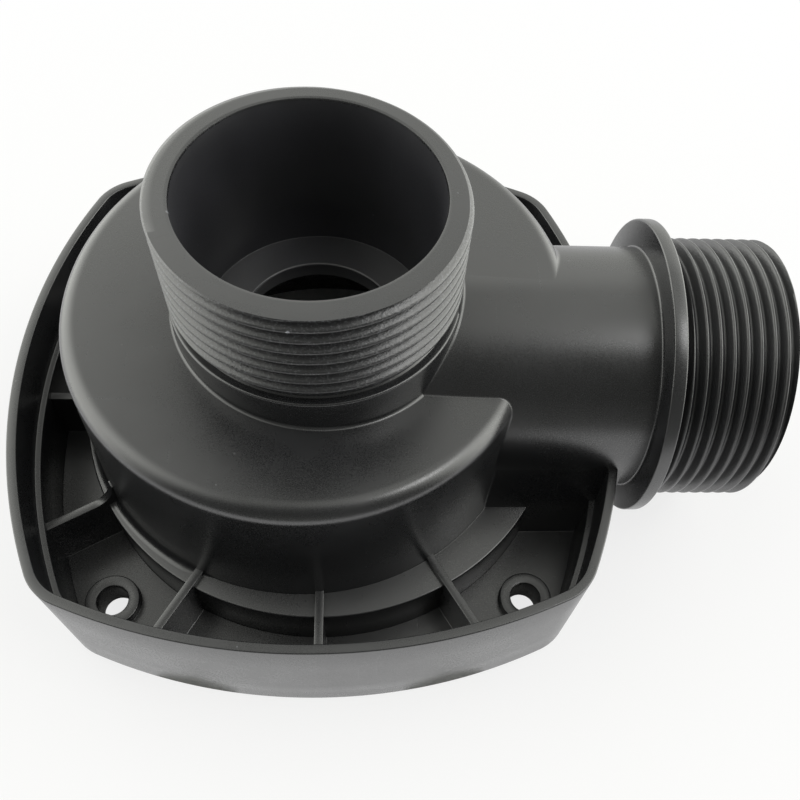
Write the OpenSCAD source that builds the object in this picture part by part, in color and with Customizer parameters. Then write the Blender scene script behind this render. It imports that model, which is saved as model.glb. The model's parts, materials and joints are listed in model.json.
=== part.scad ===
// Pump chamber cover, moulded in one piece in black plastic.
// The suction port stands on the Z axis and the discharge port runs along X.
// The base plane is Z = 0. All sizes are in millimetres.

/* [Tray] */
// Half width over the bulged sides
tray_half_width = 55.6; // [54:0.1:58]
// Radius of the bulged sides
tray_side_radius = 104; // [100:1:140]
// Radius of the tray's corners
tray_corner_radius = 10; // [8:0.5:16]
// Height of the rim above the base
rim_height = 27; // [22:0.5:32]
// Thickness of the rim at its top
rim_wall = 1.7; // [1.4:0.1:2.5]
// Height of the small ledge on the inside of the rim
rim_step_height = 17.6; // [17:0.1:20]
// Width of the small ledge on the inside of the rim
rim_step_width = 1.1; // [0.6:0.1:1.5]
// Height of the tray's floor
floor_height = 4.7; // [4.2:0.1:6]
// Thickness of the tray's floor
floor_thickness = 3; // [2.5:0.1:3.8]

/* [Screw bosses] */
// Distance of each screw from both centre planes
screw_offset = 38.5; // [37.5:0.1:39.5]
// Diameter of the screw holes
screw_hole_diameter = 5.7; // [4.5:0.1:6.5]
// Diameter of the screw bosses
boss_diameter = 9.9; // [9:0.1:11]
// Height of the screw bosses
boss_height = 6.5; // [6:0.1:10]

/* [Ribs] */
// Thickness of the ribs
rib_thickness = 1.6; // [1.2:0.1:2.4]
// Height of the ribs
rib_height = 16.3; // [15.8:0.1:17]
// Radius of the sweep that leads a rib up the casing
rib_sweep_radius = 4; // [2:0.5:6]

/* [Chamber ring] */
// Outer radius of the ring under the spiral casing
ring_radius = 45.4; // [45:0.1:46.5]
// Height of the ring
ring_height = 15.3; // [14.5:0.1:15.6]
// Wall thickness of the ring and the casing
casing_wall = 3; // [2.4:0.1:3.4]

/* [Spiral casing] */
// Largest radius of the casing, at the left and behind
casing_radius = 43.9; // [42.5:0.1:43.9]
// Offset of the front arc that makes the spiral
spiral_offset = 2.9; // [2:0.05:3]
// Height of the ramp where it starts, at the tongue
ramp_start_height = 41.6; // [40.5:0.1:43]
// Height of the ramp where it ends, on the discharge pipe
ramp_end_height = 49.7; // [48:0.1:49.7]
// Radius of the rounded outer edge of the ramp
ramp_edge_radius = 5; // [3.5:0.1:6]
// Radius of the casing's foot where it starts
foot_radius = 0.3; // [0.2:0.05:0.5]
// Radius of the casing's foot at the left and behind
foot_radius_wide = 1.4; // [1:0.05:1.45]

/* [Suction port] */
// Height of the port's face above the base
suction_height = 68.5; // [66:0.1:72]
// Bore radius of the port
suction_bore_radius = 20; // [18.5:0.1:20.4]
// Height of the shelf at the bottom of the bore
shelf_height = 39.6; // [39:0.1:41]
// Thickness of the shelf
shelf_thickness = 3; // [2:0.1:4]
// Radius of the eye in the shelf
eye_radius = 13.2; // [11:0.1:15]
// Radius of the neck below the thread
neck_radius = 24; // [24:0.05:24.6]
// Height of the neck's shoulder
shoulder_height = 49.3; // [49.1:0.1:50]

/* [Discharge port] */
// Height of the discharge axis
discharge_height = 27.3; // [27.3:0.1:28]
// Radius of the pipe between casing and collar
pipe_radius = 22.5; // [22.4:0.1:23]
// Bore radius of the port
discharge_bore_radius = 19.7; // [18.5:0.1:20]
// Half width of the pipe's flat-sided foot
skirt_half_width = 23.8; // [23:0.1:24.5]
// Length of the flare that widens the pipe to the step ring
flare_length = 3.4; // [2:0.1:5]
// Width of the step ring before the collar
step_ring_width = 0.8; // [0.5:0.1:1.5]
// Radius of the step ring before the collar
step_ring_radius = 24; // [23.6:0.1:25]
// Radius of the collar
collar_radius = 27; // [26:0.1:27]
// Distance of the collar's left face from the suction axis
collar_position = 57.2; // [57.2:0.1:59]
// Thickness of the collar
collar_thickness = 2.2; // [1.6:0.1:3]
// Distance of the port's end from the suction axis
discharge_length = 79.7; // [77:0.1:84]

/* [Pipe thread ends, G 1 1/2] */
// Major radius of the thread
thread_radius = 23.9; // [23.85:0.01:23.95]
// Radius of the undercut at the end of the thread
undercut_radius = 22.4; // [22.2:0.05:22.8]
// Width of the undercut
undercut_width = 1.5; // [1:0.1:2.5]
// Lead-in chamfer at the end of a port
lead_in = 0.5; // [0.3:0.1:1.5]
// Chamfer on the bore's edge
bore_chamfer = 0.3; // [0.2:0.1:0.6]

/* [Hidden] */
$fn = 96;
plastic = [0.12, 0.12, 0.125];
overlap = 1;
// Corner arcs of the tray stand out by this much, so that they cross the sides
corner_reach = 0.15;
side_centre = tray_side_radius - tray_half_width;
corner_chord = tray_side_radius - tray_corner_radius;
corner_root = sqrt(2 * corner_chord * corner_chord - side_centre * side_centre);
corner_tangent = (corner_root - side_centre) / 2;
corner_centre = corner_tangent + corner_reach;
corner_cut = (2 * corner_tangent + side_centre) * tray_side_radius / corner_chord - side_centre;
rib_angles = [60, 90, 120, 150, 180, -150, -120, -90, -60];
swept_rib_angles = [150, 180, -150];
rib_length = 70;
ramp_first = -20;
ramp_turn = 338;
ramp_stations = 68;
ramp_inner_radius = 14;
tongue_angle = -33;
casing_base = 10;
edge_steps = 5;
foot_steps = 3;
cavity_edge_radius = 2.5;
cavity_inner_radius = 12;
skirt_inset = 0.05;
flare_steps = 5;
flare_curve = 2.2;

// Plan of the tray, moved inwards by a wall's thickness
module tray_outline(inset) {
    side = tray_side_radius - inset;
    corner = tray_corner_radius - inset;
    cut = corner_cut - 1.414 * inset;
    intersection() {
        translate([side_centre, 0]) circle(r = side);
        translate([-side_centre, 0]) circle(r = side);
        translate([0, side_centre]) circle(r = side);
        translate([0, -side_centre]) circle(r = side);
        rotate(45) square(1.4142 * cut, center = true);
    }
    for (x = [-1, 1]) {
        for (y = [-1, 1]) {
            translate([x * corner_centre, y * corner_centre]) circle(r = corner);
        }
    }
}

// Tray with its upstanding rim, before the underside is cored out
module tray_shell() {
    difference() {
        linear_extrude(rim_height) tray_outline(0);
        translate([0, 0, rim_step_height])
            linear_extrude(rim_height) tray_outline(rim_wall);
        translate([0, 0, floor_height])
            linear_extrude(rim_height) tray_outline(rim_wall + rim_step_width);
    }
}

// Four bosses that take the screws, down to the base plane
module screw_bosses() {
    for (x = [-1, 1]) {
        for (y = [-1, 1]) {
            translate([x * screw_offset, y * screw_offset, 0])
                cylinder(d = boss_diameter, h = boss_height);
        }
    }
}

module screw_holes() {
    for (x = [-1, 1]) {
        for (y = [-1, 1]) {
            translate([x * screw_offset, y * screw_offset, -overlap])
                cylinder(d = screw_hole_diameter, h = boss_height + 2 * overlap);
        }
    }
}

// One straight rib from inside the casing to the rim
module rib(angle) {
    start = casing_radius - 2 * casing_wall;
    rotate(angle)
        translate([start, -rib_thickness / 2, floor_height - overlap])
            cube([rib_length - start, rib_thickness, rib_height - floor_height + overlap]);
}

// Concave sweep that leads a rib up the casing's wall
module rib_sweep(angle) {
    reach = casing_radius + rib_sweep_radius - 0.6;
    rotate(angle)
        difference() {
            translate([casing_radius - casing_wall, -rib_thickness / 2, rib_height - overlap])
                cube([reach - casing_radius + casing_wall, rib_thickness, rib_sweep_radius + overlap]);
            translate([reach, rib_thickness, rib_height + rib_sweep_radius])
                rotate([90, 0, 0]) cylinder(r = rib_sweep_radius, h = 2 * rib_thickness);
        }
}

module ribs() {
    intersection() {
        union() {
            for (angle = rib_angles) rib(angle);
            for (angle = swept_rib_angles) rib_sweep(angle);
        }
        linear_extrude(rim_height) tray_outline(rim_wall / 2);
    }
}

// Radius of the casing at an angle: a full arc behind, an offset arc in front
function front_radius(a) = sqrt(pow(casing_radius - spiral_offset, 2) - pow(spiral_offset * sin(a), 2));
function casing_edge(a) = sin(a) >= 0 ? casing_radius : front_radius(a) - spiral_offset * cos(a);

// Height of the ramp, rising clockwise from the tongue
ramp_rise = (ramp_end_height - ramp_start_height) / (ramp_turn - ramp_first + tongue_angle);
function ramp_height(a) = ramp_start_height + ramp_rise * (tongue_angle - a);

// The foot is sharp along the ring's open ledge and wide elsewhere
function foot_blend(a) = min(1, max(0, (-116 - a) / 8));
function foot(a) = foot_radius + (foot_radius_wide - foot_radius) * foot_blend(a);

function ring_point(a, r, z) = [r * cos(a), r * sin(a), z];

// Section of the casing at one angle, from the inner foot round to the ramp
function casing_section(a) = let (
    edge = casing_edge(a),
    top = ramp_height(a),
    f = foot(a),
    e = ramp_edge_radius
) concat(
    [ring_point(a, ramp_inner_radius, casing_base)],
    [ring_point(a, edge + f, casing_base)],
    [for (i = [0:foot_steps])
        ring_point(a, edge + f - f * sin(90 * i / foot_steps),
            ring_height + 0.2 + f - f * cos(90 * i / foot_steps))],
    [for (i = [0:edge_steps])
        ring_point(a, edge - e + e * cos(90 * i / edge_steps),
            top - e + e * sin(90 * i / edge_steps))],
    [ring_point(a, ramp_inner_radius, top)]
);

// Section of the passage inside the casing at one angle
function passage_section(a) = let (
    edge = casing_edge(a) - casing_wall,
    top = ramp_height(a) - casing_wall,
    e = cavity_edge_radius
) [
    ring_point(a, cavity_inner_radius, ring_height - casing_wall - overlap),
    ring_point(a, edge, ring_height - casing_wall - overlap),
    ring_point(a, edge, top - e),
    ring_point(a, edge - 0.293 * e, top - 0.293 * e),
    ring_point(a, edge - e, top),
    ring_point(a, cavity_inner_radius, top)
];

// Solid that joins the sections of a sweep, station by station
module swept_sections(sections) {
    n = len(sections[0]);
    count = len(sections);
    points = [for (s = sections) for (p = s) p];
    sides = [for (k = [0:count - 2]) for (i = [0:n - 1]) for (t = [0, 1])
        let (a = k * n + i, b = k * n + (i + 1) % n)
        t == 0 ? [a, a + n, b] : [b, a + n, b + n]];
    first = [[for (i = [0:n - 1]) i]];
    last = [[for (i = [n - 1:-1:0]) (count - 1) * n + i]];
    polyhedron(points = points, faces = concat(sides, first, last));
}

function station(k) = ramp_first - ramp_turn * k / ramp_stations;

// Spiral casing with its helical ramp and rounded edge
module spiral_casing() {
    swept_sections([for (k = [0:ramp_stations]) casing_section(station(k))]);
}

// Passage inside the spiral casing, left clear of the suction tube
module spiral_passage() {
    difference() {
        swept_sections([for (k = [0:ramp_stations]) passage_section(station(k))]);
        translate([0, 0, shelf_height - shelf_thickness])
            cylinder(r = neck_radius - 1, h = suction_height);
    }
    translate([0, 0, ring_height - casing_wall - overlap])
        cylinder(r = neck_radius + 0.5, h = shelf_height - shelf_thickness - ring_height + casing_wall + overlap);
}

// Ring under the casing that closes the impeller chamber
module chamber_ring() {
    cylinder(r = ring_radius, h = ring_height);
}

// Threaded end of a port, along Z, with undercut and lead-in chamfer
module port_end(length) {
    cylinder(r = undercut_radius, h = length);
    translate([0, 0, undercut_width])
        cylinder(r = thread_radius, h = length - undercut_width - lead_in);
    translate([0, 0, length - lead_in])
        cylinder(r1 = thread_radius, r2 = thread_radius - lead_in, h = lead_in);
}

module suction_port() {
    translate([0, 0, casing_base]) cylinder(r = neck_radius, h = shoulder_height - casing_base);
    translate([0, 0, shoulder_height - overlap])
        cylinder(r = undercut_radius, h = 2 * overlap);
    translate([0, 0, shoulder_height]) port_end(suction_height - shoulder_height);
}

module suction_bore() {
    translate([0, 0, shelf_height])
        cylinder(r = suction_bore_radius, h = suction_height);
    translate([0, 0, ring_height])
        cylinder(r = eye_radius, h = suction_height);
    translate([0, 0, suction_height - bore_chamfer])
        cylinder(r1 = suction_bore_radius, r2 = suction_bore_radius + 2 * bore_chamfer, h = 2 * bore_chamfer);
}

// Places a part drawn along Z on the discharge axis
module on_discharge_axis(start) {
    translate([start, 0, discharge_height]) rotate([0, 90, 0]) children();
}

// Flat-sided foot of the pipe, from the casing to the tray's wall
module pipe_skirt() {
    top_half = pipe_radius - skirt_inset;
    length = tray_half_width - rim_wall;
    rotate([90, 0, 90])
        linear_extrude(length)
        polygon([
            [-skirt_half_width, 0],
            [skirt_half_width, 0],
            [skirt_half_width, ring_height],
            [top_half, discharge_height],
            [-top_half, discharge_height],
            [-skirt_half_width, ring_height]
        ]);
}

// Hollow-curved flare that widens the pipe to the step ring
module pipe_flare() {
    foot = pipe_radius - skirt_inset;
    grow = step_ring_radius - foot;
    rotate_extrude()
        polygon(concat(
            [[discharge_bore_radius + overlap, 0]],
            [for (i = [0:flare_steps])
                [foot + grow * pow(i / flare_steps, flare_curve), flare_length * i / flare_steps]],
            [[discharge_bore_radius + overlap, flare_length]]
        ));
}

module discharge_port() {
    on_discharge_axis(0) cylinder(r = pipe_radius, h = collar_position);
    on_discharge_axis(collar_position - step_ring_width - flare_length) pipe_flare();
    on_discharge_axis(collar_position - step_ring_width)
        cylinder(r = step_ring_radius, h = step_ring_width + collar_thickness / 2);
    on_discharge_axis(collar_position) cylinder(r = collar_radius, h = collar_thickness);
    on_discharge_axis(collar_position + collar_thickness)
        port_end(discharge_length - collar_position - collar_thickness);
}

module discharge_bore() {
    on_discharge_axis(neck_radius - overlap / 2)
        cylinder(r = discharge_bore_radius, h = discharge_length);
    on_discharge_axis(discharge_length - bore_chamfer)
        cylinder(r1 = discharge_bore_radius, r2 = discharge_bore_radius + 2 * bore_chamfer,
            h = 2 * bore_chamfer);
}

// Impeller chamber, open to the underside
module impeller_chamber() {
    translate([0, 0, -overlap])
        cylinder(r = ring_radius - casing_wall, h = ring_height - casing_wall + overlap);
}

// Coring of the underside between the chamber ring, the bosses and the rim
module underside_coring() {
    depth = floor_height - floor_thickness;
    difference() {
        translate([0, 0, -overlap])
            linear_extrude(depth + overlap) tray_outline(rim_wall + rim_step_width);
        translate([0, 0, -2 * overlap])
            cylinder(r = ring_radius, h = depth + 4 * overlap);
        translate([0, 0, -2 * overlap]) {
            for (x = [-1, 1]) {
                for (y = [-1, 1]) {
                    translate([x * screw_offset, y * screw_offset, 0])
                        cylinder(d = boss_diameter, h = depth + 4 * overlap);
                }
            }
        }
    }
}

// The whole cover, one moulding
module chamber_cover() {
    color(plastic)
    difference() {
        union() {
            tray_shell();
            screw_bosses();
            ribs();
            chamber_ring();
            spiral_casing();
            pipe_skirt();
            discharge_port();
            suction_port();
        }
        underside_coring();
        impeller_chamber();
        spiral_passage();
        discharge_bore();
        suction_bore();
        screw_holes();
    }
}

chamber_cover();
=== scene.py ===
"""Looks model of a pump chamber cover, moulded in one piece in black plastic.

The cover has a walled square tray, a chamber ring, a spiral casing whose ramp rises
clockwise, an upright threaded suction port and a level threaded discharge port. All
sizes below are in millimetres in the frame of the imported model; meshes are written in
metres. Plain heights and radii inside a section are holding loops: they keep the
shading of the flat faces beside the roundings flat.
"""
import json
import logging
import math
from dataclasses import dataclass
from enum import Enum
from typing import Callable, Sequence

import bmesh
import bpy
import numpy as np
from mathutils import Matrix, Vector

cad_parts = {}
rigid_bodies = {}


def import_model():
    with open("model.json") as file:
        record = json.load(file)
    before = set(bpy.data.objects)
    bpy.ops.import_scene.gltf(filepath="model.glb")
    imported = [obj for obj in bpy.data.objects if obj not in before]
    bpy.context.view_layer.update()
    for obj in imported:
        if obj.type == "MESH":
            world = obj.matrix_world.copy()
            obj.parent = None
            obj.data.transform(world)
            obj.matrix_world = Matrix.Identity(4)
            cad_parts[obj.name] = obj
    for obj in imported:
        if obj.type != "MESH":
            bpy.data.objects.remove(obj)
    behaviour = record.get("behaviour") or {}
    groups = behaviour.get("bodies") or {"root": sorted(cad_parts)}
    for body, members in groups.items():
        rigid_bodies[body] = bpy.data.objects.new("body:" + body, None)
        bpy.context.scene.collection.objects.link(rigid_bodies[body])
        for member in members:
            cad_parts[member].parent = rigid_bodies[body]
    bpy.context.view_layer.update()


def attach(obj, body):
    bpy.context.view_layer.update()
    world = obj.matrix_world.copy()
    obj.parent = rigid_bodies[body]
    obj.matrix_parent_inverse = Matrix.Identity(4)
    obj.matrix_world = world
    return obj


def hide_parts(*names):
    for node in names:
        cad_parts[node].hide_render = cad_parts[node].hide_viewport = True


MM = 0.001
WELD = 1e-7
NODE = "chamber_cover"
BODY = "root"
log = logging.getLogger("chamber_cover")

Spot = tuple[float, float, float]
Flat = list[tuple[float, float]]
Rod = tuple[float, tuple[float, float], int]
Shell = tuple[np.ndarray, list[tuple[int, ...]]]
Socket = bpy.types.NodeSocket
Values = dict[str, object] | None
ORIGIN: Spot = (0.0, 0.0, 0.0)
UP: Spot = (0.0, 0.0, 1.0)
FLOOR_TOP, LEDGE, NECK = 4.7, 15.3, 24.0
SINK = 0.01
THREAD_INSIDE, THREAD_CREASE = 21.0, 38.0


class Axis(Enum):
    """Axis that a turned part is drawn round."""

    UPRIGHT = "upright"
    LEVEL = "level"


# -------------------- mesh tools


def loft(sections: Sequence | np.ndarray, ring: bool) -> Shell:
    """Joins closed sections, station by station, into a closed shell.

    Args:
        sections: Points of the sections, shaped (stations, points, 3).
        ring: True where the last station joins the first one again.

    Returns:
        The shell: points, shaped (n, 3), and faces as tuples of point numbers.
    """
    grid = np.array(sections, dtype=float)
    count, size = grid.shape[:2]
    faces: list[tuple[int, ...]] = []
    for k in range(count if ring else count - 1):
        low, high = k * size, ((k + 1) % count) * size
        faces += [(low + i, low + (i + 1) % size, high + (i + 1) % size, high + i) for i in range(size)]
    if not ring:
        faces.append(tuple(range(size - 1, -1, -1)))
        faces.append(tuple((count - 1) * size + i for i in range(size)))
    return grid.reshape(-1, 3), faces


def make_object(name: str, shell: Shell) -> bpy.types.Object:
    """Makes a mesh object from a shell in millimetres, with its faces turned outwards.

    Args:
        name: Name of the object and its mesh.
        shell: Its points and faces.

    Returns:
        The new object, linked to the scene.
    """
    points, faces = shell
    mesh = bpy.data.meshes.new(name)
    mesh.from_pydata((points * MM).tolist(), [], faces)
    work = bmesh.new()
    work.from_mesh(mesh)
    bmesh.ops.remove_doubles(work, verts=work.verts, dist=WELD)
    bmesh.ops.recalc_face_normals(work, faces=work.faces)
    work.to_mesh(mesh)
    work.free()
    piece = bpy.data.objects.new(name, mesh)
    bpy.context.scene.collection.objects.link(piece)
    return piece


def join(name: str, parts: Sequence[Shell]) -> bpy.types.Object:
    """Makes one object from several closed shells.

    Args:
        name: Name of the object.
        parts: The shells.

    Returns:
        The new object.
    """
    faces: list[tuple[int, ...]] = []
    base = 0
    for points, part in parts:
        faces += [tuple(base + i for i in face) for face in part]
        base += len(points)
    return make_object(name, (np.concatenate([points for points, _ in parts]), faces))


def carve(piece: bpy.types.Object, cutters: Sequence[bpy.types.Object]) -> None:
    """Cuts each cutter's space out of a piece and keeps the result in its mesh.

    Args:
        piece: The object to be cut.
        cutters: Closed objects, left as they are.
    """
    for tool in cutters:
        step = piece.modifiers.new("cut", "BOOLEAN")
        step.operation = "DIFFERENCE"
        step.solver = "EXACT"
        step.object = tool
        graph = bpy.context.evaluated_depsgraph_get()
        cut_mesh = bpy.data.meshes.new_from_object(piece.evaluated_get(graph))
        piece.modifiers.clear()
        old = piece.data
        piece.data = cut_mesh
        bpy.data.meshes.remove(old)
        cut_mesh.name = piece.name


def discard(pieces: Sequence[bpy.types.Object]) -> None:
    """Removes objects that only served as cutters."""
    bpy.data.batch_remove([*pieces, *(piece.data for piece in pieces)])


def around(radius: float, heading: float, level: float) -> Spot:
    """Point at a radius and heading round the upright axis, at a height."""
    a = math.radians(heading)
    return (radius * math.cos(a), radius * math.sin(a), level)


def arc(cx: float, cy: float, r: float, start: float, end: float, steps: int) -> Flat:
    """Points of an arc round (cx, cy) from start to end in degrees, both included."""
    angles = [math.radians(start + (end - start) * k / steps) for k in range(steps + 1)]
    return [(cx + r * math.cos(a), cy + r * math.sin(a)) for a in angles]


def turned(
    profile: Flat,
    count: int,
    axis: Axis = Axis.UPRIGHT,
    centre: Spot = ORIGIN,
    shape: Callable[[np.ndarray, np.ndarray, np.ndarray], np.ndarray] | None = None,
) -> Shell:
    """Turns a closed profile of (radius, height) round an axis.

    Args:
        profile: Its points as (radius, distance along the axis).
        count: Number of stations round the axis.
        axis: The axis.
        centre: A point on the axis.
        shape: Gives new radii from angles in degrees, radii and distances, such as a thread's.

    Returns:
        The shell.
    """
    flat = np.array(profile, dtype=float)
    angles = np.arange(count) * 360.0 / count
    angle, r = np.meshgrid(angles, flat[:, 0], indexing="ij")
    h = np.broadcast_to(flat[:, 1], angle.shape)
    if shape is not None:
        r = shape(angle, r, h)
    turn = np.radians(angle)
    u, v = r * np.cos(turn), r * np.sin(turn)
    stack = (u, v, h) if axis is Axis.UPRIGHT else (h, u, v)
    return loft(np.stack(stack, axis=-1) + np.array(centre), ring=True)


def floor_fillet(r: float, f: float) -> Flat:
    """Concave quarter between the floor and a wall of a radius, sunk a little into the floor."""
    return [(r + f, FLOOR_TOP - SINK)] + arc(r + f, FLOOR_TOP - SINK + f, f, 270, 180, 3)[1:]


def cutter(
    r: float, span: tuple[float, float], count: int, axis: Axis = Axis.UPRIGHT, centre: Spot = ORIGIN
) -> bpy.types.Object:
    """Makes a plain round cutter.

    Args:
        r: Radius.
        span: Where it starts and ends along the axis.
        count: Number of stations round it.
        axis: Its axis.
        centre: A point on the axis.

    Returns:
        The cutter as an object.
    """
    rows: list[list[Spot]] = []
    for h in span:
        turns = [2 * math.pi * (k + 0.5) / count for k in range(count)]
        ring = [(r * math.cos(a), r * math.sin(a)) for a in turns]
        rows.append([(u, v, h) if axis is Axis.UPRIGHT else (h, u, v) for u, v in ring])
    return make_object("cutter", loft(np.array(rows) + np.array(centre), ring=False))


STRIP_LIFT, STRIP_SKIRT, STRIP_DEPTH, STRIP_STEPS = 0.015, 0.25, 0.45, 7


def fillet_strip(rows: Sequence[tuple[Spot, Spot, Spot]], r: float) -> Shell:
    """Concave strip that rounds the corner between two surfaces along a line.

    Args:
        rows: A point where the surfaces meet, and both outward unit normals there, row by row.
        r: Fillet radius.

    Returns:
        The strip's shell.
    """
    sections = []
    for p, na, nb in np.array(rows):
        centre = p + r * (na + nb) / (1.0 + na @ nb)
        open_angle = math.acos(max(-1.0, min(1.0, float(na @ nb))))
        row = []
        for k in range(STRIP_STEPS + 1):
            t = k / STRIP_STEPS
            w = (math.sin((1 - t) * open_angle) * na + math.sin(t * open_angle) * nb) / math.sin(open_angle)
            row.append(centre - r * w)
        inward = (na + nb) / np.linalg.norm(na + nb)
        row[0] = row[0] - STRIP_LIFT * na
        row[-1] = row[-1] - STRIP_LIFT * nb
        row += [row[-1] - STRIP_SKIRT * nb, p - STRIP_DEPTH * inward, row[0] - STRIP_SKIRT * na]
        sections.append(row)
    return loft(sections, ring=False)


# -------------------- finishes


class NodeBench:
    """Small bench for wiring the nodes of a material or a world."""

    def __init__(self, owner: bpy.types.Material | bpy.types.World) -> None:
        """Starts with an empty node tree.

        Args:
            owner: The material or world.
        """
        owner.use_nodes = True
        self.tree = owner.node_tree
        self.tree.nodes.clear()

    def add(self, kind: str, inputs: Values = None, **settings: object) -> bpy.types.Node:
        """Adds a node.

        Args:
            kind: The node's type name, without its "ShaderNode".
            inputs: Values of its input sockets, or sockets to be linked to them.
            **settings: Attributes of the node.

        Returns:
            The new node.
        """
        node = self.tree.nodes.new(f"ShaderNode{kind}")
        for key, value in settings.items():
            setattr(node, key, value)
        for key, value in (inputs or {}).items():
            socket = node.inputs[int(key)] if key.isdigit() else node.inputs[key]
            if isinstance(value, bpy.types.NodeSocket):
                self.tree.links.new(value, socket)
            else:
                socket.default_value = value
        return node

    def out(self, kind: str, output: str, inputs: Values = None, **settings: object) -> Socket:
        """Adds a node and gives one of its outputs."""
        return self.add(kind, inputs, **settings).outputs[output]

    def math(self, operation: str, a: object, b: object = 0.0, clamp: bool = False) -> Socket:
        """Adds a math node and gives its result."""
        return self.out("Math", "Value", {"0": a, "1": b}, operation=operation, use_clamp=clamp)

    def ramp(self, source: Socket, low: float, high: float, first: float = 0, last: float = 1) -> Socket:
        """Maps a value from one span onto another, held at the ends."""
        spans = {"From Min": low, "From Max": high, "To Min": first, "To Max": last}
        return self.out("MapRange", "Result", {"Value": source, **spans})

    def noise(self, place: Socket, scale: float, detail: float, roughness: float = 0.5) -> Socket:
        """Adds a noise texture and gives its value."""
        inputs = {"Vector": place, "Scale": scale, "Detail": detail, "Roughness": roughness}
        return self.out("TexNoise", "Fac", inputs)


@dataclass(frozen=True)
class Streaks:
    """Stretched noise whose highest part is a set of fine scratches."""

    rotation: Spot
    stretch: Spot
    low: float
    high: float


@dataclass(frozen=True)
class Mark:
    """Small mark along a line: a scratch, a nick, a scuff or a speck."""

    start: Spot
    end: Spot
    width: float
    change: float


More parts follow.
